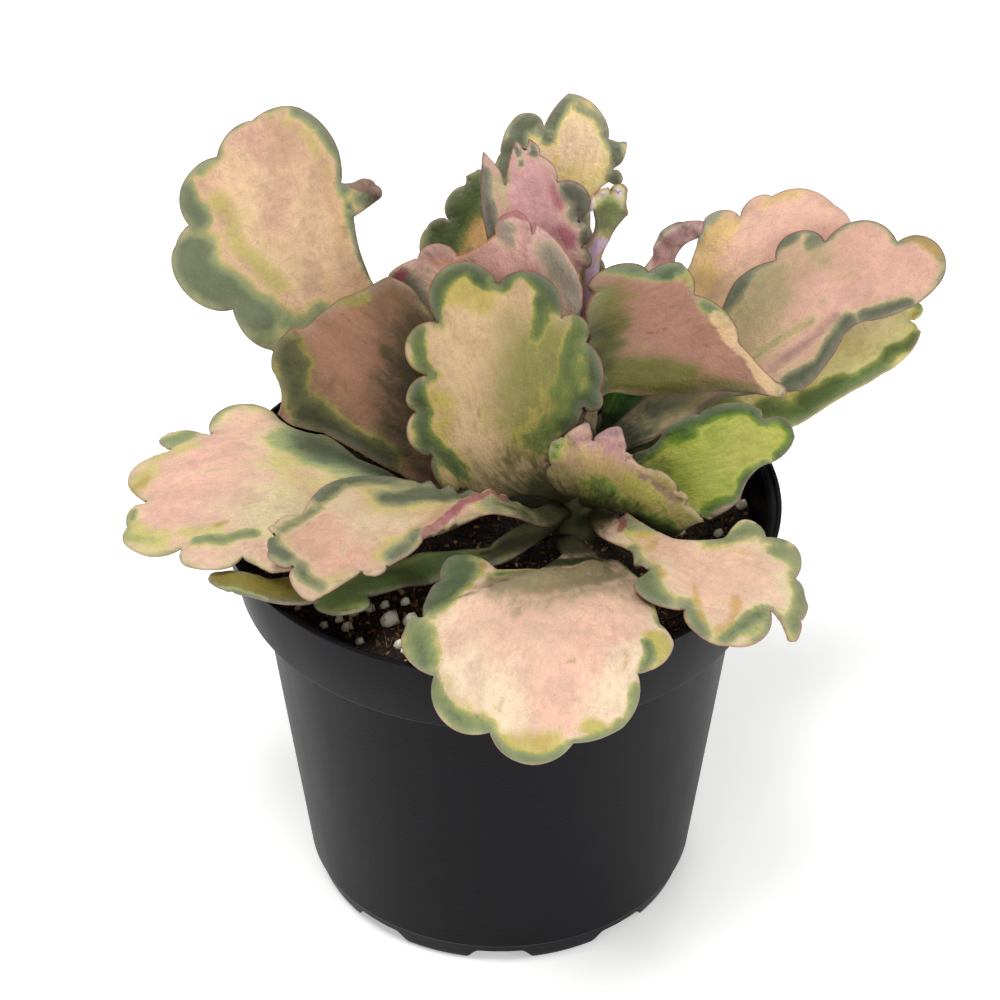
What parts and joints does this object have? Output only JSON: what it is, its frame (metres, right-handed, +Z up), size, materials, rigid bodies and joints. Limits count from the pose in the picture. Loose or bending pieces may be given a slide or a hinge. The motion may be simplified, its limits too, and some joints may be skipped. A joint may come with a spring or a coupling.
{
  "type": "potted stained glass kalanchoe",
  "caption": "Succulent with large scalloped, wavy leaves in pink, cream and green on two short stems, growing in a round tapered black nursery pot.",
  "frame": {"origin": "middle of the flat underside of the pot's base, at the level of the surface that it stands on", "axes": "+Z up along the pot's axis; -Y towards the front, where the largest leaf hangs over the rim; +X to the right as seen from the front"},
  "size_m": [0.1569, 0.1271, 0.1511],
  "materials": {
    "pot_plastic": "black injection-moulded polypropylene, satin",
    "potting_mix": null,
    "stem": null,
    "leaf_pink": null,
    "leaf_green": null,
    "leaf_yellow": null
  },
  "bodies": {
    "root": {"pot": "pot_plastic", "soil": "potting_mix", "stem_front": "stem", "stem_back": "stem", "leaf_front": "leaf_pink", "leaf_front_right": "leaf_pink", "leaf_left_low": "leaf_green", "leaf_left_wide": "leaf_pink", "leaf_left_front": "leaf_yellow", "leaf_centre": "leaf_yellow", "leaf_left_mid": "leaf_pink", "leaf_left_tall": "leaf_pink", "leaf_right_lime": "leaf_yellow", "leaf_right_small": "leaf_yellow", "leaf_right_curled": "leaf_pink", "leaf_right_ear": "leaf_pink", "leaf_right_large": "leaf_pink", "leaf_right_back": "leaf_pink", "leaf_right_low": "leaf_yellow", "leaf_back_top": "leaf_yellow", "leaf_centre_top": "leaf_pink", "leaf_left_back": "leaf_green", "leaf_centre_back": "leaf_pink", "leaf_back_cup": "leaf_pink", "leaf_back_small": "leaf_green", "leaf_right_inner": "leaf_green", "leaf_hidden_back": "leaf_green", "leaf_hidden_right": "leaf_green", "leaf_hidden_left": "leaf_green"}
  },
  "joints": []
}
